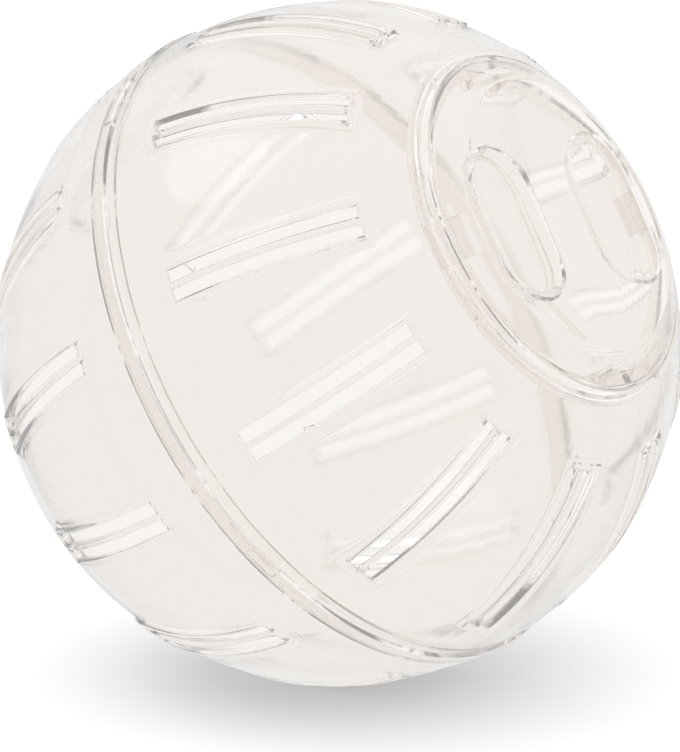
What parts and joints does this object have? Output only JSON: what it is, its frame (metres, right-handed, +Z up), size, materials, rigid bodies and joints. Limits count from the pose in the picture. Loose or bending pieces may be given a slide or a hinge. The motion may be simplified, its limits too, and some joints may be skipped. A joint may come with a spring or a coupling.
{
  "type": "hamster ball",
  "caption": "Hollow clear ball in two twist-lock halves with radial vent slots and a round lift-off door near one pole.",
  "frame": {"origin": "centre of the ball", "axes": "+Z up as the ball lies on a floor; the pole axis lies in the XZ plane and rises 32 degrees towards +X, where the door is"},
  "size_m": [0.178, 0.1798, 0.1781],
  "materials": {
    "clear_shell": "clear glossy moulded plastic with a faint warm grey tint",
    "clear_door": "clear glossy moulded plastic, a little thicker at its edges"
  },
  "bodies": {
    "closed_half": {"closed_half": "clear_shell"},
    "door_half": {"door_half": "clear_shell"},
    "door": {"door": "clear_door"}
  },
  "joints": [
    {"name": "half_twist", "type": "hinge", "parent": "closed_half", "child": "door_half", "pos_m": [0, 0, 0], "axis": [-0.848, 0, -0.5299], "range_deg": [0, 12]},
    {"name": "door_lift", "type": "slide", "parent": "door_half", "child": "door", "axis": [0.848, 0, 0.5299], "range_m": [0, 0.08]}
  ]
}
